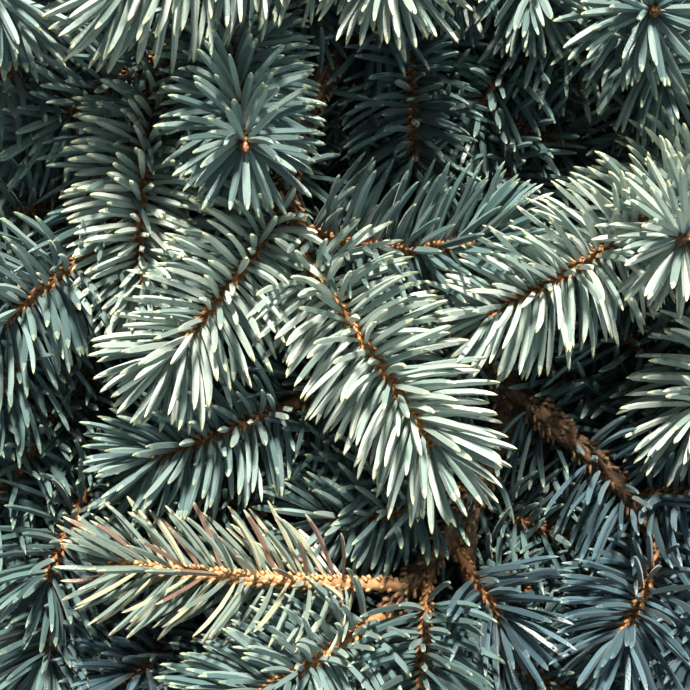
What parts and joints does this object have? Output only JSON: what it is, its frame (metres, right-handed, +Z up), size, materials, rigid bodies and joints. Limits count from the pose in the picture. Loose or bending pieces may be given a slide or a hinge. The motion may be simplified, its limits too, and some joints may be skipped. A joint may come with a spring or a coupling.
{
  "type": "cut blue spruce bough",
  "caption": "Cut conifer bough with a tapering main limb, branching limbs and short bluish sprays of stiff needles, lying on its underside.",
  "frame": {"origin": "on the ground, under the middle of the bough's bounding box", "axes": "+Z up from the ground it lies on, +Y along the main limb towards its sawn end, +X to the right seen from above with the sawn end at the top"},
  "size_m": [0.2074, 0.252, 0.095],
  "materials": {
    "bark": "rough, scaly",
    "needles_grey_green": "waxy, satin",
    "needles_blue_green": "waxy, satin",
    "needles_blue": "waxy, satin",
    "needles_deep_blue": "waxy, satin",
    "needles_straw": "dry, satin"
  },
  "bodies": {
    "root": {"main_limb": "bark", "top_limb": "bark", "left_high_limb": "bark", "right_high_limb": "bark", "centre_limb": "bark", "left_mid_limb": "bark", "low_limb": "bark", "right_low_limb": "bark", "left_top_limb": "bark", "left_low_limb": "bark", "right_mid_limb": "bark", "tip_limb": "bark", "under_left_limb": "bark", "under_right_limb": "bark", "under_mid_limb": "bark", "under_low_limb": "bark", "under_tip_limb": "bark", "centre_leader_spray": "needles_grey_green", "centre_left_spray": "needles_blue_green", "centre_right_spray": "needles_grey_green", "left_leader_spray": "needles_blue_green", "left_short_spray": "needles_blue_green", "left_rosette_spray": "needles_blue_green", "left_outer_spray": "needles_deep_blue", "top_left_spray": "needles_blue", "top_right_spray": "needles_blue", "top_mid_spray": "needles_deep_blue", "corner_rosette_spray": "needles_blue", "right_corner_spray": "needles_blue_green", "right_leader_spray": "needles_grey_green", "right_rosette_spray": "needles_grey_green", "right_side_spray": "needles_blue", "mid_left_spray": "needles_blue_green", "low_inner_spray": "needles_blue_green", "low_right_spray": "needles_blue", "low_leader_spray": "needles_straw", "low_left_spray": "needles_grey_green", "low_front_spray": "needles_blue_green", "right_low_leader_spray": "needles_blue", "deep_centre_spray": "needles_deep_blue", "deep_right_spray": "needles_deep_blue", "right_mid_leader_spray": "needles_blue", "front_right_spray": "needles_blue", "left_low_leader_spray": "needles_deep_blue", "left_low_side_spray": "needles_deep_blue", "low_left_under_spray": "needles_blue", "inner_01_spray": "needles_deep_blue", "inner_02_spray": "needles_deep_blue", "inner_03_spray": "needles_deep_blue", "inner_04_spray": "needles_deep_blue", "inner_05_spray": "needles_deep_blue", "inner_06_spray": "needles_deep_blue", "inner_07_spray": "needles_deep_blue", "inner_08_spray": "needles_deep_blue", "inner_09_spray": "needles_deep_blue", "inner_10_spray": "needles_deep_blue", "inner_11_spray": "needles_deep_blue", "inner_12_spray": "needles_deep_blue", "inner_13_spray": "needles_deep_blue", "inner_14_spray": "needles_deep_blue"}
  },
  "joints": []
}
